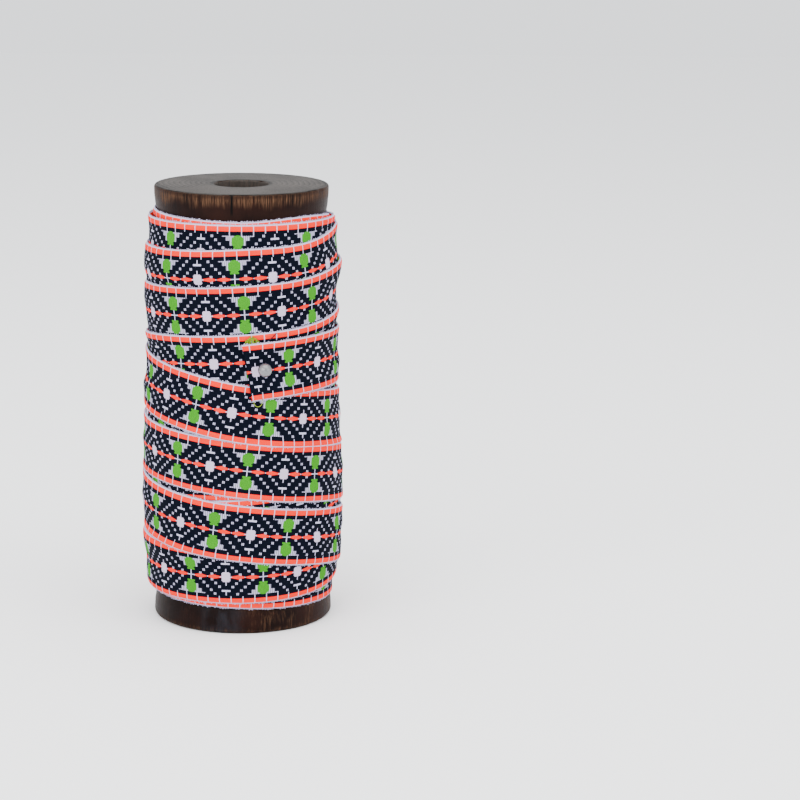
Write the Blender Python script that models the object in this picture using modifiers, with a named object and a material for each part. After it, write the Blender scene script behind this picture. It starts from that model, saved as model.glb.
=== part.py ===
"""Roll of jacquard ribbon: a turned wooden spool, the ribbon wound on it, and its pinned free end.

Metres, +Z up. The origin is the centre of the spool's base. The front, with the pin, faces -Y.
A bearing is an angle about the spool in degrees: 0 at the front, 90 at the right (+X) and -90 at the left.
"""

import math
from collections import namedtuple

import bmesh
import bpy
import numpy as np
from mathutils import Vector

MM = 0.001

# The spool, turned from one piece of wood
SPOOL_HEIGHT = 190 * MM
TOP_FLANGE_RADIUS = 37.5 * MM
BASE_FLANGE_RADIUS = 39.0 * MM
CORE_RADIUS = 33.0 * MM
TOP_FLANGE_DEPTH = 17.0 * MM
BASE_FLANGE_DEPTH = 18.0 * MM
RIM_ROUNDING = 1.4 * MM
PEG_HOLE_RADIUS = 11.7 * MM
PEG_HOLE_DEPTH = 45.0 * MM
PEG_HOLE_ROUNDING = 0.6 * MM
SPOOL_STEPS = 48
FLARE_STEPS = 6

# The ribbon
RIBBON_WIDTH = 24.0 * MM
RIBBON_THICKNESS = 1.0 * MM
CLEARANCE = 0.3 * MM
TAIL_CLEARANCE = 0.5 * MM
DRAPE_REACH = 1.5 * MM
DRAPE_SOFTNESS = 2.5 * MM

# The pin that holds the free end
PEARL_RADIUS = 3.0 * MM
PEARL_BANDS = 12
PEARL_STEPS = 20
SHAFT_RADIUS = 0.4 * MM
SHAFT_SIDES = 12
SHAFT_LENGTH = 13.0 * MM
SHAFT_IN_PEARL = 3.0 * MM
PIN_BEARING = 11.9
PIN_HEIGHT = 117.2 * MM

# Heights in millimetres of the ribbon's centre line, wrap by wrap in the order of winding. Each wrap starts
# at the right, crosses the front to the left and goes round the back. The wraps first come down the spool,
# each lapping the one before, and the last six climb back over them from the base.
Wrap = namedtuple("Wrap", "name right front left back")
WRAPS = (
    Wrap("top_under", 165.6, 166.4, 167.2, 167.0),
    Wrap("top", 165.6, 165.9, 168.6, 164.6),
    Wrap("second", 160.2, 155.6, 153.5, 150.4),
    Wrap("third", 146.4, 140.2, 137.4, 132.6),
    Wrap("fourth", 127.0, 120.2, 114.6, 108.4),
    Wrap("under_fifth", 102.0, 96.5, 92.0, 85.0),
    Wrap("under_sixth", 78.0, 72.3, 68.0, 61.0),
    Wrap("under_seventh", 54.0, 48.3, 43.0, 33.5),
    Wrap("base_under", 25.2, 24.6, 26.8, 27.4),
    Wrap("base", 28.4, 27.1, 29.8, 31.6),
    Wrap("seventh", 35.6, 46.1, 52.4, 57.6),
    Wrap("sixth", 63.4, 73.6, 79.3, 84.2),
    Wrap("fifth", 90.0, 98.2, 107.6, 114.4),
    Wrap("free_end", 118.8, 114.8, 110.0, 106.0),
)

# The free end: the bearings where it leaves the wound form, begins and is cut, and its cut edge's stand-off
TAIL_PARTS_AT = 74.0
TAIL_STARTS_AT = 71.5
TAIL_ENDS_AT = 1.5
CUT_SLANT = 2.0
TAIL_LIFT = 0.8 * MM
TAIL_LIFT_SPAN = 16.0
TAIL_STATIONS = 24
TAIL_STRIPS = 8
TAIL_BRIDGES = (-2.0, -1.0, 0.0, 1.0, 2.0)

# Radius in millimetres, by height, of the hidden layers on which those wraps lie
Layer = namedtuple("Layer", "height radius")
UNDER_LAYERS = (
    Layer(10, 37.6),
    Layer(22, 39.4),
    Layer(40, 40.7),
    Layer(100, 40.6),
    Layer(120, 40.0),
    Layer(150, 39.2),
    Layer(170, 38.5),
    Layer(182, 37.4),
)

# The fineness of the wound form
COLUMNS = 180
ROWS = 160
INNER_ROWS = 12
MAP_STEP = 0.5 * MM
MAP_BOTTOM = 8 * MM
MAP_TOP = 184 * MM
KEPT_SHARE = 0.09

MERGE_DISTANCE = 0.01 * MM
PART = "jacquard_ribbon_roll"
CUTTERS = "cutters"


def clear_scene():
    for obj in list(bpy.data.objects):
        bpy.data.objects.remove(obj)


def collection(name):
    made = bpy.data.collections.new(name)
    bpy.context.scene.collection.children.link(made)
    return made


def material(name, colour, roughness, metallic=0.0):
    made = bpy.data.materials.new(name)
    made.use_nodes = True
    shader = made.node_tree.nodes["Principled BSDF"]
    shader.inputs["Base Color"].default_value = (*colour, 1.0)
    shader.inputs["Roughness"].default_value = roughness
    shader.inputs["Metallic"].default_value = metallic
    return made


def mesh_object(name, points, edges, faces, group, finish):
    mesh = bpy.data.meshes.new(name)
    mesh.from_pydata(points, edges, faces)
    mesh.materials.append(finish)
    obj = bpy.data.objects.new(name, mesh)
    group.objects.link(obj)
    return obj


def turned(name, profile, steps, group, finish):
    """A solid of revolution about Z, from its outline as (radius, height) points, top to bottom."""
    points = [(radius, 0.0, height) for radius, height in profile]
    edges = [(i, i + 1) for i in range(len(points) - 1)]
    obj = mesh_object(name, points, edges, [], group, finish)
    turn = obj.modifiers.new("turned", "SCREW")
    turn.steps = turn.render_steps = steps
    turn.use_merge_vertices = True
    turn.merge_threshold = MERGE_DISTANCE
    turn.use_smooth_shade = True
    return obj


def at_bearing(bearing, radius, height):
    """The point at that bearing round the spool, distance from its axis and height."""
    angle = math.radians(bearing)
    return radius * math.sin(angle), -radius * math.cos(angle), height


# The spool

def quarter(centre, radius_out, radius_up, start, stop, steps):
    """Points of an elliptical arc about centre, from one angle to another in degrees."""
    angles = [math.radians(start + (stop - start) * i / steps) for i in range(steps + 1)]
    return [(centre[0] + radius_out * math.cos(a), centre[1] + radius_up * math.sin(a)) for a in angles]


def spool_profile():
    """The spool's outline, from the peg hole's floor over the top and down the outside to the base."""
    hole_floor = SPOOL_HEIGHT - PEG_HOLE_DEPTH
    outline = [(0.0, hole_floor), (PEG_HOLE_RADIUS, hole_floor)]
    mouth = (PEG_HOLE_RADIUS + PEG_HOLE_ROUNDING, SPOOL_HEIGHT - PEG_HOLE_ROUNDING)
    outline += quarter(mouth, PEG_HOLE_ROUNDING, PEG_HOLE_ROUNDING, 180, 90, 3)
    rim = (TOP_FLANGE_RADIUS - RIM_ROUNDING, SPOOL_HEIGHT - RIM_ROUNDING)
    outline += quarter(rim, RIM_ROUNDING, RIM_ROUNDING, 90, 0, 3)
    flare = (CORE_RADIUS, SPOOL_HEIGHT - RIM_ROUNDING)
    top_flare = (TOP_FLANGE_RADIUS - CORE_RADIUS, TOP_FLANGE_DEPTH - RIM_ROUNDING)
    outline += quarter(flare, *top_flare, 0, -90, FLARE_STEPS)[1:]
    foot = (CORE_RADIUS, RIM_ROUNDING)
    base_flare = (BASE_FLANGE_RADIUS - CORE_RADIUS, BASE_FLANGE_DEPTH - RIM_ROUNDING)
    outline += quarter(foot, *base_flare, 90, 0, FLARE_STEPS)
    heel = (BASE_FLANGE_RADIUS - RIM_ROUNDING, RIM_ROUNDING)
    outline += quarter(heel, RIM_ROUNDING, RIM_ROUNDING, 0, -90, 3)[1:]
    return outline + [(0.0, 0.0)]


def spool_radius(height):
    """The spool's outer radius at a height between its rounded edges."""
    from_top = SPOOL_HEIGHT - RIM_ROUNDING - height
    from_base = height - RIM_ROUNDING
    radius = CORE_RADIUS
    for reach, flange, distance in (
        (TOP_FLANGE_DEPTH - RIM_ROUNDING, TOP_FLANGE_RADIUS, from_top),
        (BASE_FLANGE_DEPTH - RIM_ROUNDING, BASE_FLANGE_RADIUS, from_base),
    ):
        share = min(max(distance / reach, 0.0), 1.0)
        radius = max(radius, CORE_RADIUS + (flange - CORE_RADIUS) * math.sqrt(1 - share * share))
    return radius


def make_spool(group):
    wood = material("stained_wood", (0.085, 0.042, 0.030), 0.45)
    return turned("spool", spool_profile(), SPOOL_STEPS, group, wood)


# The wound ribbon

def smooth_through(values, position):
    """A smooth curve through values that lie one step apart."""
    index = min(int(position), len(values) - 2)
    share = position - index
    before = values[max(index - 1, 0)]
    here, after = values[index], values[index + 1]
    beyond = values[min(index + 2, len(values) - 1)]
    lean_in, lean_out = (after - before) / 2, (beyond - here) / 2
    bend = 2 * here - 2 * after + lean_in + lean_out
    swing = 3 * (after - here) - 2 * lean_in - lean_out
    return here + share * (lean_in + share * (swing + share * bend))


QUARTER_HEIGHTS = [height * MM for wrap in WRAPS for height in wrap[1:]]
WOUND_DEGREES = 360 * (len(WRAPS) - 1) + 90 - TAIL_PARTS_AT


def centre_height(travel):
    """Height of the ribbon's centre line after so many degrees of winding."""
    return smooth_through(QUARTER_HEIGHTS, travel / 90)


def under_radius(height):
    """Radius of the hidden layers at that height."""
    heights = [layer.height * MM for layer in UNDER_LAYERS]
    radii = [layer.radius * MM for layer in UNDER_LAYERS]
    return np.interp(height, heights, radii)


def draped(radii):
    """The line that cloth takes over a stepped column of radii: it bridges small hollows and rounds steps."""
    reach = round(DRAPE_REACH / MAP_STEP)
    soft = round(DRAPE_SOFTNESS / MAP_STEP)
    padded = np.pad(radii, reach, mode="edge")
    highest = np.max([padded[i : i + len(radii)] for i in range(2 * reach + 1)], axis=0)
    padded = np.pad(highest, soft, mode="edge")
    return np.mean([padded[i : i + len(radii)] for i in range(2 * soft + 1)], axis=0)


def wind_ribbon():
    """Lays the wraps one after another. Returns the heights of the map's rows and the outer radius at each
    bearing, in steps from -180, and height."""
    heights = np.arange(MAP_BOTTOM, MAP_TOP, MAP_STEP)
    radii = np.tile(under_radius(heights), (COLUMNS, 1))
    step = 360 / COLUMNS
    for i in range(int(WOUND_DEGREES / step) + 1):
        travel = i * step
        column = round((90 - travel + 180) / step) % COLUMNS
        covered = np.abs(heights - centre_height(travel)) <= RIBBON_WIDTH / 2
        radii[column, covered] = draped(radii[column])[covered] + RIBBON_THICKNESS
    return heights, radii


def wound_radius(heights, radii, bearing, height):
    """The wound surface's radius at a bearing and height, read between the map's columns and rows."""
    place = (bearing + 180) / 360 * COLUMNS
    column = math.floor(place)
    share = place - column
    here = np.interp(height, heights, radii[column % COLUMNS])
    there = np.interp(height, heights, radii[(column + 1) % COLUMNS])
    return here + (there - here) * share


def roll_ends(bearing):
    """Heights of the roll's lower and upper end at a bearing, from the ribbon's outermost edges there."""
    first = (90 - bearing) % 360
    passes = [centre_height(travel) for travel in np.arange(first, WOUND_DEGREES, 360)]
    return min(passes) - RIBBON_WIDTH / 2, max(passes) + RIBBON_WIDTH / 2


def make_roll(group, heights, radii, cloth):
    """The wound form as one thick sleeve round the spool, with the wraps' laps raised on its outside."""
    points = []
    for column in range(COLUMNS):
        bearing = column * 360 / COLUMNS - 180
        lower, upper = roll_ends(bearing)
        for i in range(ROWS + 1):
            height = lower + (upper - lower) * i / ROWS
            points.append(at_bearing(bearing, np.interp(height, heights, radii[column]), height))
        for i in range(INNER_ROWS + 1):
            height = upper + (lower - upper) * i / INNER_ROWS
            points.append(at_bearing(bearing, spool_radius(height) + CLEARANCE, height))
    around = ROWS + INNER_ROWS + 2
    faces = []
    for column in range(COLUMNS):
        here, there = column * around, (column + 1) % COLUMNS * around
        for i in range(around):
            after = (i + 1) % around
            faces.append((here + i, there + i, there + after, here + after))
    roll = mesh_object("ribbon_roll", points, [], faces, group, cloth)
    coarser = roll.modifiers.new("fewer_faces", "DECIMATE")
    coarser.ratio = KEPT_SHARE
    return roll


def tail_rise(bearing, cut_bearing):
    """How far the free end stands off the roll: a little more towards its cut edge."""
    near_cut = max(0.0, 1 - (bearing - cut_bearing) / TAIL_LIFT_SPAN)
    return TAIL_CLEARANCE + TAIL_LIFT * near_cut**2


def make_tail(group, heights, radii, cloth):
    """The ribbon's free end: a strip that lies on the roll, its cut edge standing off a little."""
    points = []
    for i in range(TAIL_STATIONS + 1):
        for j in range(TAIL_STRIPS + 1):
            across = RIBBON_WIDTH * (j / TAIL_STRIPS - 0.5)
            ends_at = TAIL_ENDS_AT - CUT_SLANT * across / (RIBBON_WIDTH / 2)
            bearing = ends_at + (TAIL_STARTS_AT - ends_at) * i / TAIL_STATIONS
            height = centre_height(WOUND_DEGREES + TAIL_PARTS_AT - bearing) + across
            radius = tail_seat(heights, radii, bearing, height) + tail_rise(bearing, ends_at)
            points.append(at_bearing(bearing, radius, height))
    faces = []
    for i in range(TAIL_STATIONS):
        for j in range(TAIL_STRIPS):
            corner = i * (TAIL_STRIPS + 1) + j
            above = corner + TAIL_STRIPS + 1
            faces.append((corner, above, above + 1, corner + 1))
    tail = mesh_object("ribbon_tail", points, [], faces, group, cloth)
    thick = tail.modifiers.new("cloth", "SOLIDIFY")
    thick.thickness = RIBBON_THICKNESS
    thick.offset = 1.0
    return tail


def tail_seat(heights, radii, bearing, height):
    """The highest radius of the roll near a point of the free end, so that the strip bridges the laps."""
    return max(
        wound_radius(heights, radii, min(bearing + turn, TAIL_STARTS_AT), height + rise * MM)
        for turn in TAIL_BRIDGES
        for rise in TAIL_BRIDGES
    )


# The pin

def place_on_pin(obj, seat):
    """Turns an object's own +Z to the pin's outward direction, and puts its origin at the tail's surface."""
    outward = Vector(at_bearing(PIN_BEARING, 1.0, 0.0))
    obj.rotation_euler = outward.to_track_quat("Z", "Y").to_euler()
    obj.location = at_bearing(PIN_BEARING, seat, PIN_HEIGHT)


def make_pearl(group, seat):
    """A round bead with a blind hole for the shaft."""
    bore = SHAFT_RADIUS + CLEARANCE
    bore_floor = SHAFT_IN_PEARL + CLEARANCE
    start = math.degrees(math.asin(bore / PEARL_RADIUS))
    turns = [math.radians(180 - (180 - start) * i / PEARL_BANDS) for i in range(PEARL_BANDS + 1)]
    outside = [(PEARL_RADIUS * math.sin(a), PEARL_RADIUS * (1 - math.cos(a))) for a in turns]
    profile = outside + [(bore, bore_floor), (0.0, bore_floor)]
    pearl = turned("pearl_head", profile, PEARL_STEPS, group, material("pearl", (0.72, 0.72, 0.76), 0.25))
    place_on_pin(pearl, seat)
    return pearl


def pin_rod(name, radius, inner, outer, group):
    """A closed rod along the pin's line, from inner to outer measured outwards from the tail's surface."""
    mesh = bpy.data.meshes.new(name)
    rod = bmesh.new()
    bmesh.ops.create_cone(
        rod, cap_ends=True, segments=SHAFT_SIDES, radius1=radius, radius2=radius, depth=outer - inner
    )
    bmesh.ops.translate(rod, verts=rod.verts, vec=(0, 0, (outer + inner) / 2))
    rod.to_mesh(mesh)
    rod.free()
    obj = bpy.data.objects.new(name, mesh)
    group.objects.link(obj)
    return obj


def make_shaft(group, seat):
    shaft = pin_rod("pin_shaft", SHAFT_RADIUS, -SHAFT_LENGTH + SHAFT_IN_PEARL, SHAFT_IN_PEARL, group)
    shaft.data.materials.append(material("pin_steel", (0.6, 0.6, 0.62), 0.3, 1.0))
    place_on_pin(shaft, seat)
    return shaft


def cut_pin_hole(targets, group, seat):
    """Opens the way of the shaft through the tail and into the roll."""
    reach = SHAFT_LENGTH - SHAFT_IN_PEARL + CLEARANCE
    cutter = pin_rod("pin_way", SHAFT_RADIUS + CLEARANCE, -reach, PEARL_RADIUS, group)
    place_on_pin(cutter, seat)
    cutter.hide_render = True
    cutter.display_type = "WIRE"
    for target in targets:
        hole = target.modifiers.new("pin_hole", "BOOLEAN")
        hole.operation = "DIFFERENCE"
        hole.object = cutter


def build():
    clear_scene()
    part = collection(PART)
    cutters = collection(CUTTERS)
    make_spool(part)
    cloth = material("woven_ribbon", (0.02, 0.03, 0.06), 0.85)
    heights, radii = wind_ribbon()
    roll = make_roll(part, heights, radii, cloth)
    tail = make_tail(part, heights, radii, cloth)
    under_pin = tail_seat(heights, radii, PIN_BEARING, PIN_HEIGHT) + tail_rise(PIN_BEARING, TAIL_ENDS_AT)
    seat = under_pin + RIBBON_THICKNESS + CLEARANCE
    make_pearl(part, seat)
    make_shaft(part, seat)
    cut_pin_hole((roll, tail), cutters, seat)


build()
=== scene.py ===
import math
from collections import namedtuple

import bpy
import numpy as np
from mathutils import Matrix, Vector, noise


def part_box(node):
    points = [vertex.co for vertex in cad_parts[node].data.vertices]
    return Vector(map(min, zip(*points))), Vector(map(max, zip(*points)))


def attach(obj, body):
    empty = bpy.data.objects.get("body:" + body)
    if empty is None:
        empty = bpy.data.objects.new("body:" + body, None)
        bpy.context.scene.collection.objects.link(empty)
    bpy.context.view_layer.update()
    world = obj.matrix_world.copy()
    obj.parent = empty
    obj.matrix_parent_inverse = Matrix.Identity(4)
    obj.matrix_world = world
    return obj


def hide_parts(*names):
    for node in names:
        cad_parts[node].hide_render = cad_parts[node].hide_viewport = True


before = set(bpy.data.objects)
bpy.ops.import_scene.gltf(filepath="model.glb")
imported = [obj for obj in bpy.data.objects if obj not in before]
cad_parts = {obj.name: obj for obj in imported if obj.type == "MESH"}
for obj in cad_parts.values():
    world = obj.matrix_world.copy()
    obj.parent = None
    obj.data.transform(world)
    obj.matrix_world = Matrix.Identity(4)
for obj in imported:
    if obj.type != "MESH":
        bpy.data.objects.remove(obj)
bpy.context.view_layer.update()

MM = 0.001


# The spool
# One piece of wood turned on a lathe: a core between two flared flanges, with a peg hole down its axis.
# It is stained nearly black. The top face has worn to grey end grain, and the edge under it to bare fibres.

spool_low, spool_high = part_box("spool")
SPOOL_HEIGHT = spool_high[2]
TOP_FLANGE_RADIUS = 37.5 * MM
BASE_FLANGE_RADIUS = spool_high[0]
CORE_RADIUS = 33.0 * MM
TOP_FLANGE_DEPTH = 17.0 * MM
BASE_FLANGE_DEPTH = 18.0 * MM
RIM_ROUNDING = 1.1 * MM
HEEL_ROUNDING = 1.6 * MM
PEG_HOLE_RADIUS = 11.7 * MM
PEG_HOLE_DEPTH = 45.0 * MM
PEG_HOLE_ROUNDING = 0.9 * MM
SPOOL_STEPS = 256
TOOL_MARKS = 0.10 * MM
RIM_NICKS = 0.45 * MM

END_GRAIN_PALE = (0.062, 0.053, 0.047)
END_GRAIN_DARK = (0.0050, 0.0038, 0.0032)
STAIN = (0.0034, 0.0013, 0.0011)
STAIN_WARM = (0.0125, 0.0042, 0.0027)
BARE_FIBRE = (0.076, 0.038, 0.020)
CRACK_AT = -4.2 * MM
CRACK_BROWN = (0.0012, 0.0007, 0.0006)
# Painted sheen: a bluish-grey patch low on the front left of the base flange stands in for a reflection on the stain.
PAINTED_SHEEN_AT = -9 * MM
PAINTED_SHEEN_GREY = (0.012, 0.0125, 0.0160)
PEG_HOLE_BROWN = (0.026, 0.016, 0.010)


def arc(centre, radius_out, radius_up, start, stop, steps):
    """Points of an elliptical arc in a turned outline, between two angles in degrees."""
    angles = np.radians(np.linspace(start, stop, steps + 1))
    return [(centre[0] + radius_out * math.cos(a), centre[1] + radius_up * math.sin(a)) for a in angles]


def straight(start, stop, steps):
    """Evenly spaced points of a straight stretch in a turned outline, without its first."""
    return [
        (start[0] + (stop[0] - start[0]) * i / steps, start[1] + (stop[1] - start[1]) * i / steps)
        for i in range(1, steps + 1)
    ]


def revolve(outline, steps):
    """Turns an outline of (radius, height) about Z. Returns points and faces that point outwards."""
    points = []
    rings = []
    for radius, height in outline:
        first = len(points)
        if radius < 1e-6:
            points.append((0.0, 0.0, height))
            rings.append([first] * steps)
            continue
        for k in range(steps):
            turn = 2 * math.pi * k / steps
            points.append((radius * math.cos(turn), radius * math.sin(turn), height))
        rings.append(list(range(first, first + steps)))
    faces = []
    for upper, lower in zip(rings, rings[1:]):
        for k in range(steps):
            after = (k + 1) % steps
            corners = (upper[k], lower[k], lower[after], upper[after])
            faces.append(tuple(dict.fromkeys(corners)))
    return points, faces


def mesh_piece(name, points, faces, *materials):
    mesh = bpy.data.meshes.new(name)
    mesh.from_pydata(points, [], faces)
    for finish in materials:
        mesh.materials.append(finish)
    mesh.shade_smooth()
    piece = bpy.data.objects.new(name, mesh)
    bpy.context.scene.collection.objects.link(piece)
    return piece


def finish_with_shader(name, roughness, **sockets):
    """A new material and its node tree and shader, with plain values on the shader's own sockets."""
    made = bpy.data.materials.new(name)
    made.use_nodes = True
    shader = made.node_tree.nodes["Principled BSDF"]
    shader.inputs["Roughness"].default_value = roughness
    for socket, value in sockets.items():
        shader.inputs[socket.replace("_", " ")].default_value = value
    return made, made.node_tree, shader


def calc(tree, operation, *values):
    """A Math node on sockets or plain numbers. Returns its output."""
    node = tree.nodes.new("ShaderNodeMath")
    node.operation = operation
    for socket, value in zip(node.inputs, values):
        if isinstance(value, (int, float)):
            socket.default_value = value
        else:
            tree.links.new(value, socket)
    return node.outputs[0]


def blend_colours(tree, share, below, above):
    """A mix of two colours, each a socket or a plain colour. Returns the mixed colour."""
    node = tree.nodes.new("ShaderNodeMix")
    node.data_type = "RGBA"
    for socket, value in ((node.inputs[0], share), (node.inputs[6], below), (node.inputs[7], above)):
        if isinstance(value, tuple):
            socket.default_value = (*value, 1.0)
        elif isinstance(value, (int, float)):
            socket.default_value = value
        else:
            tree.links.new(value, socket)
    return node.outputs[2]


def ramp(tree, value, low, high, from_value=0.0, to_value=1.0):
    """A smooth step of a value from low to high."""
    node = tree.nodes.new("ShaderNodeMapRange")
    node.interpolation_type = "SMOOTHSTEP"
    tree.links.new(value, node.inputs["Value"])
    for socket, number in zip(node.inputs[1:5], (low, high, from_value, to_value)):
        socket.default_value = number
    return node.outputs[0]


def stretched_noise(tree, scale, stretch=(1, 1, 1), detail=4.0, roughness=0.6):
    """Noise on Object coordinates, stretched along the axes. scale counts features to a metre."""
    place = tree.nodes.new("ShaderNodeTexCoord")
    mapping = tree.nodes.new("ShaderNodeMapping")
    mapping.inputs["Scale"].default_value = stretch
    tree.links.new(place.outputs["Object"], mapping.inputs["Vector"])
    grain = tree.nodes.new("ShaderNodeTexNoise")
    grain.inputs["Scale"].default_value = scale
    grain.inputs["Detail"].default_value = detail
    grain.inputs["Roughness"].default_value = roughness
    tree.links.new(mapping.outputs[0], grain.inputs["Vector"])
    return grain.outputs[0]


def bump(tree, shader, height, distance, strength=1.0):
    node = tree.nodes.new("ShaderNodeBump")
    node.inputs["Distance"].default_value = distance
    node.inputs["Strength"].default_value = strength
    tree.links.new(height, node.inputs["Height"])
    tree.links.new(node.outputs[0], shader.inputs["Normal"])


def object_axes(tree):
    place = tree.nodes.new("ShaderNodeTexCoord")
    split = tree.nodes.new("ShaderNodeSeparateXYZ")
    tree.links.new(place.outputs["Object"], split.inputs[0])
    return split.outputs


def stained_side():
    """Near-black stain on long grain. Just under the top rim it has worn off the fibres in ragged streaks."""
    made, tree, shader = finish_with_shader("stained side", 0.46, Specular_IOR_Level=0.045)
    sideways, depth, height = object_axes(tree)
    fibres = stretched_noise(tree, 1500, (1, 1, 0.035), 5, 0.7)
    patches = stretched_noise(tree, 130, (1, 1, 0.5), 3)
    blotches = stretched_noise(tree, 45, (1, 1, 0.7), 3)
    stain = blend_colours(tree, ramp(tree, blotches, 0.38, 0.68), STAIN, STAIN_WARM)
    stain = blend_colours(tree, ramp(tree, fibres, 0.30, 0.75, 0.0, 0.35), stain, STAIN_WARM)
    worn_edge = calc(tree, "MULTIPLY_ADD", patches, 8 * MM, SPOOL_HEIGHT - 10.6 * MM)
    above_edge = calc(tree, "DIVIDE", calc(tree, "SUBTRACT", height, worn_edge), 4.0 * MM)
    below_rim = ramp(tree, height, SPOOL_HEIGHT - 1.0 * MM, SPOOL_HEIGHT - 2.4 * MM, 0.45, 1.0)
    worn = calc(tree, "MULTIPLY", calc(tree, "MINIMUM", ramp(tree, above_edge, 0.0, 1.0), 1.0), below_rim)
    streaks = calc(tree, "MULTIPLY", worn, ramp(tree, fibres, 0.40, 0.66))
    heel = ramp(tree, height, 3.0 * MM, 0.8 * MM, 0.0, 0.60)
    rubbed = calc(tree, "MULTIPLY", ramp(tree, height, 15 * MM, 11 * MM, 0.0, 0.55), ramp(tree, patches, 0.42, 0.60))
    rubbed = calc(tree, "MULTIPLY", rubbed, ramp(tree, sideways, -6 * MM, 6 * MM, 0.15, 1.0))
    heel = calc(tree, "MAXIMUM", heel, rubbed)
    bare = calc(tree, "MAXIMUM", streaks, calc(tree, "MULTIPLY", heel, ramp(tree, fibres, 0.45, 0.65)))
    off_crack = calc(tree, "ABSOLUTE", calc(tree, "SUBTRACT", sideways, CRACK_AT))
    crack = calc(tree, "MULTIPLY", ramp(tree, off_crack, 0.7 * MM, 0.25 * MM), ramp(tree, height, 0.180, 0.183))
    crack = calc(tree, "MULTIPLY", crack, calc(tree, "LESS_THAN", depth, 0.0))
    bare = calc(tree, "MULTIPLY", bare, calc(tree, "SUBTRACT", 1.0, crack))
    colour = blend_colours(tree, bare, stain, BARE_FIBRE)
    colour = blend_colours(tree, crack, colour, CRACK_BROWN)
    # Painted sheen: a bluish-grey patch low on the front left, patchy, standing in for a reflection on the dark stain.
    off_painted_sheen = calc(tree, "ABSOLUTE", calc(tree, "SUBTRACT", sideways, PAINTED_SHEEN_AT))
    painted_sheen = calc(tree, "MULTIPLY", ramp(tree, off_painted_sheen, 13 * MM, 3 * MM, 0.0, 0.7), ramp(tree, height, 16 * MM, 8 * MM))
    painted_sheen = calc(tree, "MULTIPLY", painted_sheen, calc(tree, "LESS_THAN", depth, 0.0))
    colour = blend_colours(tree, calc(tree, "MULTIPLY", painted_sheen, ramp(tree, patches, 0.35, 0.6)), colour, PAINTED_SHEEN_GREY)
    tree.links.new(colour, shader.inputs["Base Color"])
    gloss = calc(tree, "MULTIPLY_ADD", bare, 0.30, calc(tree, "MULTIPLY_ADD", blotches, 0.12, 0.36))
    tree.links.new(gloss, shader.inputs["Roughness"])
    bump(tree, shader, fibres, 0.14 * MM, 0.7)
    return made


def end_grain(name, pale, dark, ring_width, roughness):
    """Sawn end grain: yearly rings about a pith a little off the axis, with fine pores."""
    made, tree, shader = finish_with_shader(name, roughness, Specular_IOR_Level=0.035)
    x, y, height = object_axes(tree)
    off_x = calc(tree, "ADD", x, 2.5 * MM)
    off_y = calc(tree, "ADD", y, -1.5 * MM)
    wander = stretched_noise(tree, 40, (1, 1, 1), 3)
    from_pith = calc(tree, "SQRT", calc(tree, "ADD", calc(tree, "POWER", off_x, 2), calc(tree, "POWER", off_y, 2)))
    from_pith = calc(tree, "MULTIPLY_ADD", wander, 5.5 * MM, from_pith)
    ring = calc(tree, "FRACT", calc(tree, "DIVIDE", from_pith, ring_width))
    ring = calc(tree, "POWER", ring, 2.2)
    pores = stretched_noise(tree, 1900, (1, 1, 0.1), 4, 0.75)
    clouds = stretched_noise(tree, 60, (1, 1, 1), 4)
    shade = calc(tree, "MULTIPLY_ADD", ring, 0.62, calc(tree, "MULTIPLY", ramp(tree, pores, 0.35, 0.75), 0.34))
    shade = calc(tree, "MULTIPLY_ADD", ramp(tree, clouds, 0.4, 0.7), 0.30, shade)
    from_axis = calc(tree, "SQRT", calc(tree, "ADD", calc(tree, "POWER", x, 2), calc(tree, "POWER", y, 2)))
    rim = ramp(tree, from_axis, TOP_FLANGE_RADIUS - 5 * MM, TOP_FLANGE_RADIUS, 0.0, 0.35)
    mouth = ramp(tree, from_axis, PEG_HOLE_RADIUS + 4 * MM, PEG_HOLE_RADIUS, 0.0, 0.45)
    shade = calc(tree, "MINIMUM", calc(tree, "ADD", shade, calc(tree, "MAXIMUM", rim, mouth)), 1.0)
    tree.links.new(blend_colours(tree, shade, pale, dark), shader.inputs["Base Color"])
    sheen = calc(tree, "MULTIPLY_ADD", pores, 0.22, roughness - 0.10)
    tree.links.new(sheen, shader.inputs["Roughness"])
    relief = calc(tree, "MULTIPLY_ADD", ring, -0.5, calc(tree, "MULTIPLY", pores, -0.8))
    bump(tree, shader, relief, 0.12 * MM, 0.6)
    return made


def peg_hole_wall():
    """Bored raw wood, furred and brown."""
    made, tree, shader = finish_with_shader("bored wall", 0.85)
    fur = stretched_noise(tree, 700, (1, 1, 0.25), 5, 0.75)
    darker = tuple(0.30 * c for c in PEG_HOLE_BROWN)
    colour = blend_colours(tree, ramp(tree, fur, 0.35, 0.65), darker, PEG_HOLE_BROWN)
    tree.links.new(colour, shader.inputs["Base Color"])
    bump(tree, shader, fur, 0.5 * MM, 0.9)
    return made


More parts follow.
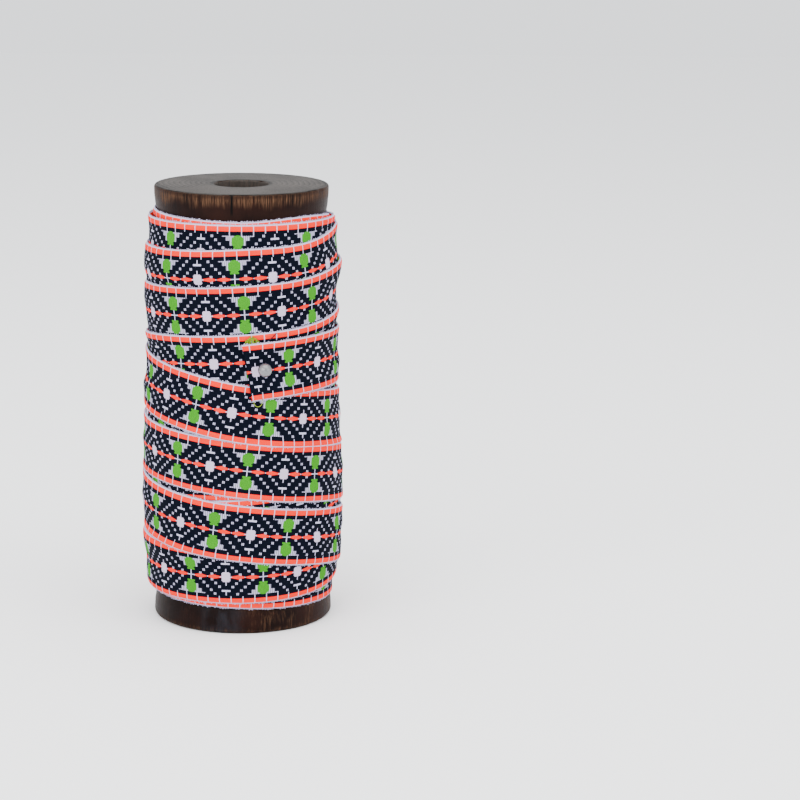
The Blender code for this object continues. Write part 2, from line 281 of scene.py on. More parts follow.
def spool_outline():
    """(radius, height) from the peg hole's floor up over the top face and down the outside to the base."""
    floor = SPOOL_HEIGHT - PEG_HOLE_DEPTH
    mouth = (PEG_HOLE_RADIUS + PEG_HOLE_ROUNDING, SPOOL_HEIGHT - PEG_HOLE_ROUNDING)
    rim = (TOP_FLANGE_RADIUS - RIM_ROUNDING, SPOOL_HEIGHT - RIM_ROUNDING)
    top_sweep = (TOP_FLANGE_RADIUS - CORE_RADIUS, TOP_FLANGE_DEPTH - RIM_ROUNDING)
    base_sweep = (BASE_FLANGE_RADIUS - CORE_RADIUS, BASE_FLANGE_DEPTH - HEEL_ROUNDING)
    heel = (BASE_FLANGE_RADIUS - HEEL_ROUNDING, HEEL_ROUNDING)
    outline = [(0.0, floor)] + straight((0.0, floor), (PEG_HOLE_RADIUS, floor), 4)
    outline += straight((PEG_HOLE_RADIUS, floor), (PEG_HOLE_RADIUS, mouth[1]), 24)
    outline += arc(mouth, PEG_HOLE_ROUNDING, PEG_HOLE_ROUNDING, 180, 90, 6)[1:]
    outline += straight(outline[-1], (rim[0], SPOOL_HEIGHT), 16)
    outline += arc(rim, RIM_ROUNDING, RIM_ROUNDING, 90, 0, 8)[1:]
    outline += arc((CORE_RADIUS, rim[1]), *top_sweep, 0, -90, 18)[1:]
    outline += straight(outline[-1], (CORE_RADIUS, BASE_FLANGE_DEPTH), 8)
    outline += arc((CORE_RADIUS, HEEL_ROUNDING), *base_sweep, 90, 0, 18)[1:]
    outline += arc(heel, HEEL_ROUNDING, HEEL_ROUNDING, 0, -90, 8)[1:]
    return outline + straight((heel[0], 0.0), (0.0, 0.0), 6)


def turned_wood_wear(point):
    """Moves a point of the spool by what the lathe and use leave: faint tool marks, and nicks in the rims."""
    radius = math.hypot(point[0], point[1])
    if radius < PEG_HOLE_RADIUS * 0.5:
        return point
    place = Vector(point)
    if radius < PEG_HOLE_RADIUS + PEG_HOLE_ROUNDING * 0.5:
        depth = 0.35 * MM * noise.noise(place * 330) + 0.12 * MM * noise.noise(place * 1100)
        scale = (radius + depth) / radius
        return (point[0] * scale, point[1] * scale, point[2])
    marks = TOOL_MARKS * noise.noise(Vector((place.x * 40, place.y * 40, place.z * 420)))
    near_rim = max(0.0, 1 - abs(point[2] - SPOOL_HEIGHT + 0.4 * MM) / (1.6 * MM))
    on_rim = near_rim * max(0.0, min(1.0, (radius - TOP_FLANGE_RADIUS + 2.5 * MM) / (2.0 * MM)))
    nick = max(0.0, noise.noise(place * 210) - 0.18) + 0.35 * max(0.0, noise.noise(place * 700))
    scale = (radius + marks - RIM_NICKS * on_rim * nick) / radius
    drop = RIM_NICKS * 0.6 * on_rim * nick
    height = point[2] - drop if point[2] > SPOOL_HEIGHT / 2 else point[2]
    return (point[0] * scale, point[1] * scale, max(height, 0.0))


spool_points, spool_faces = revolve(spool_outline(), SPOOL_STEPS)
spool_points = [turned_wood_wear(point) for point in spool_points]
spool = mesh_piece(
    "turned_spool",
    spool_points,
    spool_faces,
    stained_side(),
    end_grain("end grain", END_GRAIN_PALE, END_GRAIN_DARK, 2.3 * MM, 0.46),
    peg_hole_wall(),
)
SIDE, TOP, HOLE = range(3)
for face in spool.data.polygons:
    reach = math.hypot(face.center.x, face.center.y)
    if reach < PEG_HOLE_RADIUS + 0.4 * PEG_HOLE_ROUNDING and face.center.z > SPOOL_HEIGHT / 2:
        face.material_index = HOLE
    elif face.normal.z > 0.75:
        face.material_index = TOP
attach(spool, "root")
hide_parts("spool")


# The wound ribbon
# One continuous jacquard ribbon, woven with looped edges and wound edge over edge: down the spool, then back
# up over itself. Only its last turns are modelled, each laid on what lies beneath it, and it parts from the
# roll at the right to end, cut across, at the front.

RIBBON_HALF_WIDTH = 12.1 * MM
RIBBON_THICKNESS = 1.0 * MM
EDGE_THINNING = 0.60 * MM
BAND_RELIEF = 0.16 * MM
BAND_MIDDLE = 10.6 * MM
BAND_HALF = 1.3 * MM
DRAPE_REACH = 1.2 * MM
DRAPE_SOFTNESS = 2.2 * MM
MAP_STEP = 0.25 * MM
MAP_BOTTOM = 6 * MM
MAP_TOP = 186 * MM
MAP_COLUMNS = 360
STATIONS_A_TURN = 160
STRIPS = 20
UNDER_STRIPS = 4
REPEAT = 32.2 * MM
SEEN_FROM_FRONT = 84.0

# Heights in millimetres of the ribbon's centre line, wrap by wrap in the order of winding: each starts at the
# right, crosses the front to the left and goes round the back. The last column is the bearing at the front
# where a bud of the pattern stands, or the nearest whole repeat on a wrap that is hidden.
Wrap = namedtuple("Wrap", "name right front_right front front_left left back bud_at")
WRAPS = (
    Wrap("top_under", 165.0, 167.4, 166.4, 167.0, 168.0, 167.4, 8.0),
    Wrap("top", 165.2, 165.6, 165.4, 165.2, 164.9, 163.8, -2.5),
    Wrap("second", 161.4, 156.8, 155.5, 153.9, 152.9, 150.2, -4.0),
    Wrap("third", 145.8, 141.9, 139.9, 137.9, 136.0, 131.0, 1.5),
    Wrap("fourth", 125.2, 121.6, 119.4, 117.1, 113.8, 108.2, 5.7),
    Wrap("under_fifth", 102.0, 99.2, 96.5, 94.2, 92.0, 85.0, -12.0),
    Wrap("under_sixth", 78.0, 75.1, 72.3, 70.1, 68.0, 61.0, -20.0),
    Wrap("under_seventh", 54.0, 51.1, 48.3, 45.6, 43.0, 33.5, 14.0),
    Wrap("base_under", 21.4, 21.9, 23.6, 24.7, 25.3, 27.0, 17.5),
    Wrap("base", 29.6, 27.3, 26.6, 26.2, 26.5, 30.6, 11.8),
    Wrap("seventh", 36.0, 41.0, 45.8, 49.6, 53.0, 58.0, -16.8),
    Wrap("sixth", 63.4, 68.8, 73.4, 76.4, 78.6, 83.4, 2.5),
    Wrap("fifth", 88.6, 93.0, 97.5, 102.7, 107.0, 112.0, 15.8),
    Wrap("free_end", 116.4, 117.1, 115.5, 112.0, 109.0, 105.0, 28.4),
)
KNOTS_A_TURN = (0, 45, 90, 135, 180, 270)
TAIL_PARTS_AT = 74.0
CUT_AT = 2.6
CUT_SLANT = 1.7
CUT_END_DRAWN_IN = 0.10
CUT_CURL = 0.9 * MM
TAIL_LIFT = 0.25 * MM

# Radius in millimetres, by height, of the hidden turns on which those wraps lie: at the left and at the right
Layer = namedtuple("Layer", "height left right")
UNDER_LAYERS = (
    Layer(9, 38.5, 38.4),
    Layer(14, 39.3, 38.3),
    Layer(20, 40.6, 39.1),
    Layer(30, 39.8, 40.4),
    Layer(42, 40.7, 41.2),
    Layer(54, 41.5, 42.1),
    Layer(66, 41.4, 41.1),
    Layer(78, 40.8, 40.6),
    Layer(90, 41.1, 40.2),
    Layer(102, 39.4, 39.9),
    Layer(114, 39.0, 38.9),
    Layer(126, 39.6, 39.4),
    Layer(138, 41.0, 39.8),
    Layer(150, 39.8, 39.6),
    Layer(162, 38.0, 38.0),
    Layer(171, 37.0, 37.2),
    Layer(178, 36.5, 36.5),
    Layer(184, 36.9, 36.9),
)

WOUND_DEGREES = 360 * (len(WRAPS) - 1) + 90 - CUT_AT
TAIL_BEGINS = 360 * (len(WRAPS) - 1) + 90 - TAIL_PARTS_AT
KNOTS = np.array([360 * turn + knot for turn in range(len(WRAPS)) for knot in KNOTS_A_TURN])
KNOT_HEIGHTS = np.array([height * MM for wrap in WRAPS for height in wrap[1:7]])
map_heights = np.arange(MAP_BOTTOM, MAP_TOP, MAP_STEP)


def smooth_through(knots, values, position):
    """A smooth curve through values that stand at uneven knots."""
    leans = np.gradient(values, knots)
    index = np.clip(np.searchsorted(knots, position, side="right") - 1, 0, len(knots) - 2)
    span = knots[index + 1] - knots[index]
    share = (position - knots[index]) / span
    here, after = values[index], values[index + 1]
    lean_in, lean_out = leans[index] * span, leans[index + 1] * span
    bend = 2 * here - 2 * after + lean_in + lean_out
    swing = 3 * (after - here) - 2 * lean_in - lean_out
    return here + share * (lean_in + share * (swing + share * bend))


def wander(travel, waves, seed):
    """A slow random drift between about -1 and 1, with so many waves to a turn."""
    return np.array([noise.noise(Vector((t / 360 * waves, seed, 0.37))) for t in travel]) * 1.6


def bearing_of(travel):
    return (90 - travel + 180) % 360 - 180


def draped(radii):
    """The line that cloth takes over a stepped column of radii: it bridges small hollows and rounds steps."""
    reach = round(DRAPE_REACH / MAP_STEP)
    soft = round(DRAPE_SOFTNESS / MAP_STEP)
    padded = np.pad(radii, reach, mode="edge")
    highest = np.max([padded[i : i + len(radii)] for i in range(2 * reach + 1)], axis=0)
    padded = np.pad(highest, soft, mode="edge")
    return np.mean([padded[i : i + len(radii)] for i in range(2 * soft + 1)], axis=0)


def along_ribbon(travel):
    """Place in the pattern, in whole repeats, that puts each wrap's bud where its row says. What has to give
    does so round the back."""
    fixed_travel = []
    fixed_place = []
    place = 0.0
    for number, wrap in enumerate(WRAPS):
        seen = np.abs(travels - 360 * number - 90) < SEEN_FROM_FRONT
        radius = np.mean(seat_lines[seen, STRIPS // 2]) + RIBBON_THICKNESS
        repeats_a_turn = radius * 2 * math.pi / REPEAT
        bud_travel = 360 * number + 90 - wrap.bud_at
        if number:
            place += round((bud_travel - last_bud_travel) / 360 * repeats_a_turn)
        last_bud_travel = bud_travel
        for side in (-SEEN_FROM_FRONT, 0.0, SEEN_FROM_FRONT):
            fixed_travel.append(360 * number + 90 + side)
            fixed_place.append(place + (fixed_travel[-1] - bud_travel) / 360 * repeats_a_turn)
    past_last_bud = np.maximum(0, travel - last_bud_travel) / 360 * repeats_a_turn
    return np.interp(travel, fixed_travel, fixed_place) + CUT_END_DRAWN_IN * past_last_bud


def flare(number, bearing, share_up):
    """How far the topmost wrap's upper half leans away from the flange, at the sides most."""
    if WRAPS[number].name != "top":
        return 0.0
    return 1.5 * MM * math.sin(math.radians(bearing)) ** 2 * np.clip(share_up, 0, 1) ** 1.5


# Laying the wraps: a map of the roll's radius by bearing and height grows as each column of ribbon is laid
# on it, and every station of the strip keeps the line that it took over the map.
station_step = 360 / STATIONS_A_TURN
travels = np.append(np.arange(0, WOUND_DEGREES, station_step), WOUND_DEGREES)
centres = smooth_through(KNOTS, KNOT_HEIGHTS, travels) + 0.22 * MM * wander(travels, 5, 1.7)
slopes = np.gradient(centres, np.radians(travels)) / (43 * MM)
leans = 0.30 * MM * wander(travels, 4, 5.3)
swells = 0.28 * MM * wander(travels, 6, 9.1)
cross_share = np.linspace(-1, 1, STRIPS + 1)
cross_share = 1.5 * cross_share - 0.5 * cross_share**3
under_left, under_right = (
    np.interp(map_heights, [layer.height * MM for layer in UNDER_LAYERS], [layer[side] * MM for layer in UNDER_LAYERS])
    for side in (1, 2)
)
rightward = 0.5 + 0.5 * np.sin(2 * np.pi * np.arange(MAP_COLUMNS) / MAP_COLUMNS - np.pi)[:, None]
radius_map = under_left * (1 - rightward) + under_right * rightward
owner_map = np.full(radius_map.shape, -1)
seat_lines = np.zeros((len(travels), STRIPS + 1))
columns_a_station = MAP_COLUMNS / STATIONS_A_TURN
COLUMNS_FELT_AHEAD = 2
for i, travel in enumerate(travels):
    heights = centres[i] + cross_share * RIBBON_HALF_WIDTH
    bearing = bearing_of(travel)
    middle = (bearing + 180) / 360 * MAP_COLUMNS
    first = math.ceil(middle - columns_a_station / 2)
    last = math.ceil(middle + columns_a_station / 2)
    ahead = range(first - COLUMNS_FELT_AHEAD, last)
    under = np.max([draped(radius_map[column % MAP_COLUMNS]) for column in ahead], axis=0)
    number = min(int(travel // 360), len(WRAPS) - 1)
    seat_lines[i] = np.interp(heights, map_heights, under) + flare(number, bearing, cross_share)
    seat_lines[i] += swells[i] * (0.4 if travel > TAIL_BEGINS else 1.0) + leans[i] * cross_share
    laid_heights = np.abs(map_heights - centres[i]) <= RIBBON_HALF_WIDTH
    laid = np.interp(map_heights[laid_heights], heights, seat_lines[i]) + RIBBON_THICKNESS
    for column in range(first, last):
        radius_map[column % MAP_COLUMNS, laid_heights] = laid
        owner_map[column % MAP_COLUMNS, laid_heights] = i

# Cloth is too stiff along its length to follow each step beneath it, so each line is eased by its neighbours.
EASED_STATIONS = 5
eased = np.pad(seat_lines, ((EASED_STATIONS // 2,) * 2, (0, 0)), mode="edge")
seat_lines = np.mean([eased[i : i + len(travels)] for i in range(EASED_STATIONS)], axis=0)


def tail_stand_off(i, share):
    """The free end's own lift off the roll, with a little curl where it was cut."""
    degrees_to_cut = WOUND_DEGREES - travels[i]
    if travels[i] < TAIL_BEGINS:
        return 0.0
    settled = min(1.0, (travels[i] - TAIL_BEGINS) / 20)
    corner = 0.5 + 0.5 * abs(share) ** 3
    return TAIL_LIFT * settled + CUT_CURL * corner * max(0.0, 1 - degrees_to_cut / 14) ** 2


def ribbon_point(i, share, lift):
    """A point of the ribbon at a station, by its share of the half width and its lift off the seat."""
    offset = share * RIBBON_HALF_WIDTH
    seat = np.interp(share, cross_share, seat_lines[i])
    radius = seat + lift + tail_stand_off(i, share)
    to_cut = max(0.0, 1 - (WOUND_DEGREES - travels[i]) / 12)
    sheared = math.degrees(slopes[i] * offset / radius) - CUT_SLANT * share * to_cut
    angle = math.radians(bearing_of(travels[i]) + sheared)
    return (radius * math.sin(angle), -radius * math.cos(angle), centres[i] + offset)


def surface_lift(share):
    """Height of the ribbon's face over its back: thin at the selvedges, and padded at the two bands."""
    offset = abs(share) * RIBBON_HALF_WIDTH
    thinning = EDGE_THINNING * max(0.0, (offset - 11.2 * MM) / (RIBBON_HALF_WIDTH - 11.2 * MM)) ** 2
    on_band = max(0.0, 1 - ((offset - BAND_MIDDLE) / BAND_HALF) ** 2)
    return RIBBON_THICKNESS - thinning + BAND_RELIEF * on_band**0.5


def make_ribbon():
    """The strip as a closed skin: its face, its two edges and a coarser back."""
    under_share = np.linspace(1, -1, UNDER_STRIPS + 1)
    around = [(share, surface_lift(share)) for share in cross_share]
    around += [(share, 0.12 * MM) for share in under_share]
    ring = len(around)
    places = along_ribbon(travels)
    points = [ribbon_point(i, share, lift) for i in range(len(travels)) for share, lift in around]
    faces = []
    for i in range(len(travels) - 1):
        for j in range(ring):
            after = (j + 1) % ring
            faces.append((i * ring + j, i * ring + after, (i + 1) * ring + after, (i + 1) * ring + j))
    faces.append(tuple(range(ring - 1, -1, -1)))
    faces.append(tuple((len(travels) - 1) * ring + j for j in range(ring)))
    ribbon = mesh_piece("ribbon", points, faces)
    chart = ribbon.data.uv_layers.new(name="UVMap")
    for loop in ribbon.data.loops:
        station, j = divmod(loop.vertex_index, ring)
        chart.data[loop.index].uv = (places[station], 0.5 + 0.5 * around[j][0])
    return ribbon


# The figure is charted as a weaver's point paper: a repeat of 78 threads along by 31 out from the centre
# line, mirrored about the bud, the star between two buds, and the centre line. A block covers threads
# counted from the bud's axis and from the centre line, both ends included.
REPEAT_THREADS = 78
HALF_REPEAT = REPEAT_THREADS // 2
THREADS_ACROSS = 61
Block = namedtuple("Block", "part along_from along_to out_from out_to")
LAVENDER_BLOCKS = (
    Block("star", 36, 39, 0, 5),
    Block("star shoulder", 35, 39, 1, 4),
    Block("star ray", 39, 39, 6, 9),
    Block("star arm", 33, 35, 0, 0),
    Block("bar over the star", 35, 39, 15, 16),
    Block("post of the bar", 39, 39, 17, 20),
    Block("stem", 0, 0, 0, 6),
    Block("cross arm", 0, 4, 0, 0),
    Block("leaf side", 0, 8, 10, 14),
    Block("leaf", 0, 12, 15, 18),
    Block("leaf tip", 0, 16, 19, 19),
    Block("knot", 19, 19, 0, 0),
)
# A lozenge swells from one blunt end to its peak and tapers to the other, in threads from the star's axis.
Lozenge = namedtuple("Lozenge", "inner peak outer")
CORAL_LOZENGES = (Lozenge(5.0, 13.6, 19.6), Lozenge(21.0, 28.0, 34.9))
LOZENGE_END, LOZENGE_SWELL = 0.75, 1.75
BAND_FROM, BAND_TO = 24.0, 29.35
STITCH_EVERY = 12.5
STITCH_HALF_WIDTH = 0.43
STITCH_FROM = 21.5
STITCH_FROM_LEAF = 18.5
LEAF_REACH = 17.5
DOT_DIAGONALS = (18, 31)
DOT_STEP = 4
DOT_HALF_WIDTH = 1.25
DOT_FIRST = 3
DOT_OUTERMOST = (12, 20)
DOT_MIDDLE, DOT_SIDES = 0.30, 0.90
GAP_BETWEEN_FLOATS = 0.30
BUD_CENTRE, BUD_HALF_LENGTH, BUD_HALF_WIDTH = 13.7, 6.4, 6.9
BUD_FOOT = Block("bud foot", 0, 4, 6, 7)
BUD_NECK = Block("bud neck", 0, 3, 8, 9)

NAVY = (0.0008, 0.0013, 0.0036)
NAVY_LIT = (0.0024, 0.0038, 0.0095)
LAVENDER = (0.52, 0.50, 0.68)
LAVENDER_PINK = (0.58, 0.46, 0.60)
LAVENDER_SHADE = (0.17, 0.16, 0.25)
CORAL = (0.82, 0.0165, 0.0045)
CORAL_DEEP = (0.52, 0.0085, 0.0025)
GREEN = (0.050, 0.27, 0.014)
GREEN_DEEP = (0.022, 0.15, 0.007)


def within(tree, value, low, high):
    """1 where a whole number of threads is from low to high, both included."""
    above = calc(tree, "GREATER_THAN", value, low - 0.5)
    return calc(tree, "MULTIPLY", above, calc(tree, "LESS_THAN", value, high + 0.5))


def all_of(tree, *masks):
    joined = masks[0]
    for mask in masks[1:]:
        joined = calc(tree, "MULTIPLY", joined, mask)
    return joined


def any_of(tree, *masks):
    joined = masks[0]
    for mask in masks[1:]:
        joined = calc(tree, "MAXIMUM", joined, mask)
    return joined


def point_paper():
    """The figure as a node group: masks of its colours by the place on the ribbon, counted in threads."""
    tree = bpy.data.node_groups.new("point paper", "ShaderNodeTree")
    for name in ("Along", "Across"):
        tree.interface.new_socket(name, in_out="INPUT", socket_type="NodeSocketFloat")
    for name in ("Lavender", "Coral", "Green", "Star"):
        tree.interface.new_socket(name, in_out="OUTPUT", socket_type="NodeSocketFloat")
    start = tree.nodes.new("NodeGroupInput")
    end = tree.nodes.new("NodeGroupOutput")
    place, across = start.outputs[0], start.outputs[1]
    thread = calc(tree, "FLOOR", calc(tree, "ADD", place, 0.5))
    along = calc(tree, "ROUND", calc(tree, "PINGPONG", thread, HALF_REPEAT))
    out = calc(tree, "ABSOLUTE", calc(tree, "FLOOR", calc(tree, "ADD", across, 0.5)))
    smooth_out = calc(tree, "ABSOLUTE", across)
    smooth_from_star = calc(tree, "SUBTRACT", HALF_REPEAT, calc(tree, "PINGPONG", place, HALF_REPEAT))

    def block(part):
        in_length = within(tree, along, part.along_from, part.along_to)
        return all_of(tree, in_length, within(tree, out, part.out_from, part.out_to))

    blocks = [block(part) for part in LAVENDER_BLOCKS]
    every_other = calc(tree, "PINGPONG", along, 1.0)
    open_floats = calc(tree, "MULTIPLY_ADD", every_other, 1 - GAP_BETWEEN_FLOATS, GAP_BETWEEN_FLOATS)
    for k, part in enumerate(LAVENDER_BLOCKS):
        if part.part.startswith("leaf"):
            blocks[k] = all_of(tree, blocks[k], open_floats)
    upper_side = calc(tree, "GREATER_THAN", across, 0.0)
    stitch_place = calc(tree, "MULTIPLY_ADD", upper_side, STITCH_EVERY * 0.4, place)
    to_stitch = calc(tree, "PINGPONG", stitch_place, STITCH_EVERY / 2)
    on_stitch = calc(tree, "LESS_THAN", to_stitch, STITCH_HALF_WIDTH)
    by_leaf = calc(tree, "LESS_THAN", along, LEAF_REACH)
    stitch_from = calc(tree, "MULTIPLY_ADD", by_leaf, STITCH_FROM_LEAF - STITCH_FROM, STITCH_FROM)
    stitches = all_of(tree, on_stitch, calc(tree, "GREATER_THAN", smooth_out, stitch_from))
    selvedge = calc(tree, "GREATER_THAN", smooth_out, BAND_TO)

    dot_number = calc(tree, "FLOOR", calc(tree, "DIVIDE", calc(tree, "SUBTRACT", out, DOT_FIRST - 1.5), DOT_STEP))
    dot_row = calc(tree, "MULTIPLY_ADD", dot_number, DOT_STEP, DOT_FIRST)
    to_row = calc(tree, "ABSOLUTE", calc(tree, "SUBTRACT", smooth_out, dot_row))
    dots = []
    for diagonal, outermost in zip(DOT_DIAGONALS, DOT_OUTERMOST):
        to_dot = calc(tree, "SUBTRACT", smooth_from_star, calc(tree, "SUBTRACT", diagonal, dot_row))
        off_middle = calc(tree, "ABSOLUTE", to_dot)
        on_dot = calc(tree, "LESS_THAN", calc(tree, "MAXIMUM", off_middle, to_row), DOT_HALF_WIDTH)
        floats = calc(tree, "MULTIPLY_ADD", calc(tree, "GREATER_THAN", off_middle, 0.35), DOT_SIDES - DOT_MIDDLE, DOT_MIDDLE)
        dots.append(all_of(tree, on_dot, floats, within(tree, out, DOT_FIRST - 1, outermost)))
    dots = any_of(tree, *dots)

    lozenges = []
    for lozenge in CORAL_LOZENGES:
        rising = calc(tree, "DIVIDE", calc(tree, "SUBTRACT", smooth_from_star, lozenge.inner), lozenge.peak - lozenge.inner)
        falling = calc(tree, "DIVIDE", calc(tree, "SUBTRACT", lozenge.outer, smooth_from_star), lozenge.outer - lozenge.peak)
        swelling = calc(tree, "MINIMUM", rising, falling)
        half_height = calc(tree, "MULTIPLY_ADD", swelling, LOZENGE_SWELL, LOZENGE_END)
        inside = calc(tree, "GREATER_THAN", swelling, 0.0)
        lozenges.append(all_of(tree, inside, calc(tree, "LESS_THAN", smooth_out, half_height)))
    lozenge = any_of(tree, *lozenges)
    in_band = calc(tree, "GREATER_THAN", smooth_out, BAND_FROM)
    band = all_of(tree, in_band, calc(tree, "LESS_THAN", smooth_out, BAND_TO))

    bud_out = calc(tree, "DIVIDE", calc(tree, "SUBTRACT", smooth_out, BUD_CENTRE), BUD_HALF_LENGTH)
    bud_along = calc(tree, "DIVIDE", along, BUD_HALF_WIDTH)
    bud = calc(tree, "ADD", calc(tree, "MULTIPLY", bud_out, bud_out), calc(tree, "MULTIPLY", bud_along, bud_along))
    green = any_of(tree, calc(tree, "LESS_THAN", bud, 1.0), block(BUD_FOOT), block(BUD_NECK))

    not_green = calc(tree, "SUBTRACT", 1.0, green)
    figure = any_of(tree, *blocks, stitches, selvedge)
    bare_of_figure = calc(tree, "LESS_THAN", figure, 0.01)
    free_dots = all_of(tree, dots, calc(tree, "SUBTRACT", 1.0, lozenge))
    lavender = all_of(tree, any_of(tree, figure, free_dots), not_green)
    coral = all_of(tree, any_of(tree, band, lozenge), not_green, bare_of_figure)
    tree.links.new(lavender, end.inputs["Lavender"])
    tree.links.new(coral, end.inputs["Coral"])
    tree.links.new(green, end.inputs["Green"])
    tree.links.new(any_of(tree, *blocks[:2]), end.inputs["Star"])
    return tree


def thread_noise(tree, along, across, scale_along, scale_across):
    """Random value that changes from thread to thread, by the place counted in threads."""
    join = tree.nodes.new("ShaderNodeCombineXYZ")
    tree.links.new(calc(tree, "MULTIPLY", along, scale_along), join.inputs[0])
    tree.links.new(calc(tree, "MULTIPLY", across, scale_across), join.inputs[1])
    grain = tree.nodes.new("ShaderNodeTexNoise")
    grain.inputs["Scale"].default_value = 1.0
    grain.inputs["Detail"].default_value = 2.0
    tree.links.new(join.outputs[0], grain.inputs["Vector"])
    return grain.outputs[0]


def jacquard_cloth():
    """Navy ground with the figure floated on it, ribbed by its weft, each thread a little unlike the next."""
    made, tree, shader = finish_with_shader("jacquard ribbon", 0.85, Specular_IOR_Level=0.03)
    place = tree.nodes.new("ShaderNodeUVMap")
    place.uv_map = "UVMap"
    split = tree.nodes.new("ShaderNodeSeparateXYZ")
    tree.links.new(place.outputs[0], split.inputs[0])
    along = calc(tree, "MULTIPLY", split.outputs[0], REPEAT_THREADS)
    across = calc(tree, "MULTIPLY", calc(tree, "SUBTRACT", split.outputs[1], 0.5), THREADS_ACROSS)
    paper = tree.nodes.new("ShaderNodeGroup")
    paper.node_tree = point_paper()
    ragged = thread_noise(tree, along, across, 1.3, 2.1)
    tree.links.new(calc(tree, "MULTIPLY_ADD", ragged, 0.7, calc(tree, "ADD", along, -0.35)), paper.inputs[0])
    tree.links.new(across, paper.inputs[1])
    uneven = thread_noise(tree, along, across, 0.9, 2.6)
    faded = stretched_noise(tree, 60, (1, 1, 1), 2)
    thread_shade = ramp(tree, uneven, 0.35, 0.65)
    pinkish = calc(tree, "MULTIPLY", paper.outputs["Star"], 0.8)
    lavender = blend_colours(tree, pinkish, LAVENDER, LAVENDER_PINK)
    lavender = blend_colours(tree, calc(tree, "MULTIPLY", thread_shade, 0.45), lavender, LAVENDER_SHADE)
    colour = blend_colours(tree, thread_shade, NAVY, NAVY_LIT)
    colour = blend_colours(tree, paper.outputs["Lavender"], colour, lavender)
    coral = blend_colours(tree, calc(tree, "MULTIPLY", thread_shade, 0.55), CORAL, CORAL_DEEP)
    colour = blend_colours(tree, paper.outputs["Coral"], colour, coral)
    colour = blend_colours(tree, paper.outputs["Green"], colour, blend_colours(tree, thread_shade, GREEN, GREEN_DEEP))
    tree.links.new(colour, shader.inputs["Base Color"])
    tree.links.new(calc(tree, "MULTIPLY_ADD", faded, 0.2, 0.70), shader.inputs["Roughness"])
    rib = calc(tree, "ABSOLUTE", calc(tree, "SINE", calc(tree, "MULTIPLY", along, math.pi)))
    pick = calc(tree, "ABSOLUTE", calc(tree, "SINE", calc(tree, "MULTIPLY", across, math.pi)))
    raised = any_of(tree, paper.outputs["Lavender"], paper.outputs["Coral"], paper.outputs["Green"])
    relief = calc(tree, "MULTIPLY_ADD", rib, 0.35, calc(tree, "MULTIPLY", pick, 0.30))
    relief = calc(tree, "MULTIPLY_ADD", raised, 0.6, calc(tree, "MULTIPLY_ADD", uneven, 0.5, relief))
    bump(tree, shader, relief, 0.14 * MM, 0.8)
    return made


ribbon = make_ribbon()
jacquard = jacquard_cloth()
ribbon.data.materials.append(jacquard)
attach(ribbon, "root")
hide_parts("ribbon_roll", "ribbon_tail")


# The inner turns
# The many turns of ribbon that lie under the last ones, as one sleeve round the spool's core. Only slits
# between the outer turns and the two ends of the roll show any of it.

INNER_LOW = 13.0 * MM
INNER_HIGH = 176.5 * MM
INNER_RINGS = 60
INNER_STEPS = 120
INNER_SETBACK = 0.25 * MM
TURN_PITCH = 24.2 * MM
END_RIDGES = 5
END_RIDGE_HEIGHT = 0.5 * MM


def inner_profile(bearing):
    """(radius, height, place across the ribbon) up the sleeve's outside, with its stacked edges at each end."""
    rightward_share = 0.5 + 0.5 * math.sin(math.radians(bearing))
    outside = []
    for height in np.linspace(INNER_LOW, INNER_HIGH, INNER_RINGS):
        left, right = np.interp(height, map_heights, under_left), np.interp(height, map_heights, under_right)
        radius = left * (1 - rightward_share) + right * rightward_share - INNER_SETBACK
        outside.append((radius, height, (height / TURN_PITCH) % 1.0))
    profile = []
    for rim, way in ((outside[0], -1), (outside[-1], 1)):
        ridges = []
        for k in range(2 * END_RIDGES + 1):
            radius = CORE_RADIUS + 0.2 * MM + (rim[0] - CORE_RADIUS - 0.2 * MM) * k / (2 * END_RIDGES + 1)
            ridges.append((radius, rim[1] + way * (k % 2) * END_RIDGE_HEIGHT, 0.999))
        profile.append(ridges)
    return profile[0] + outside + profile[1][::-1]


inner_bearings = np.arange(INNER_STEPS) * 360 / INNER_STEPS - 180
inner_profiles = [inner_profile(bearing) for bearing in inner_bearings]
inner_ring = len(inner_profiles[0])
inner_points = [
    (radius * math.sin(math.radians(bearing)), -radius * math.cos(math.radians(bearing)), height)
    for bearing, profile in zip(inner_bearings, inner_profiles)
    for radius, height, _ in profile
]
inner_faces = []
for k in range(INNER_STEPS):
    here, after = k * inner_ring, (k + 1) % INNER_STEPS * inner_ring
    for j in range(inner_ring):
        up = (j + 1) % inner_ring
        inner_faces.append((here + j, after + j, after + up, here + up))
inner_turns = mesh_piece("inner_turns", inner_points, inner_faces, jacquard)
inner_chart = inner_turns.data.uv_layers.new(name="UVMap")
for face in inner_turns.data.polygons:
    for loop in face.loop_indices:
        k, j = divmod(inner_turns.data.loops[loop].vertex_index, inner_ring)
        wrapped = k == 0 and face.vertices[1] < face.vertices[0]
        place = (k + (INNER_STEPS if wrapped else 0)) / INNER_STEPS * 8
        inner_chart.data[loop].uv = (place, inner_profiles[k][j][2])
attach(inner_turns, "root")


# The looped edges
# The weft turns back at each selvedge in little loops a bit more than a millimetre apart. Geometry Nodes
# sets a loop at each step along every stretch of edge that no later turn covers.

LOOP_PITCH = 1.15 * MM
LOOP_RADIUS = 0.32 * MM
LOOP_THREAD = 0.11 * MM
LOOP_SEGMENTS = 6
LOOP_SIDES = 4
LOOP_SEAT = 0.45 * MM
EDGE_PROBE = 0.6 * MM
SAME_TURN = 4


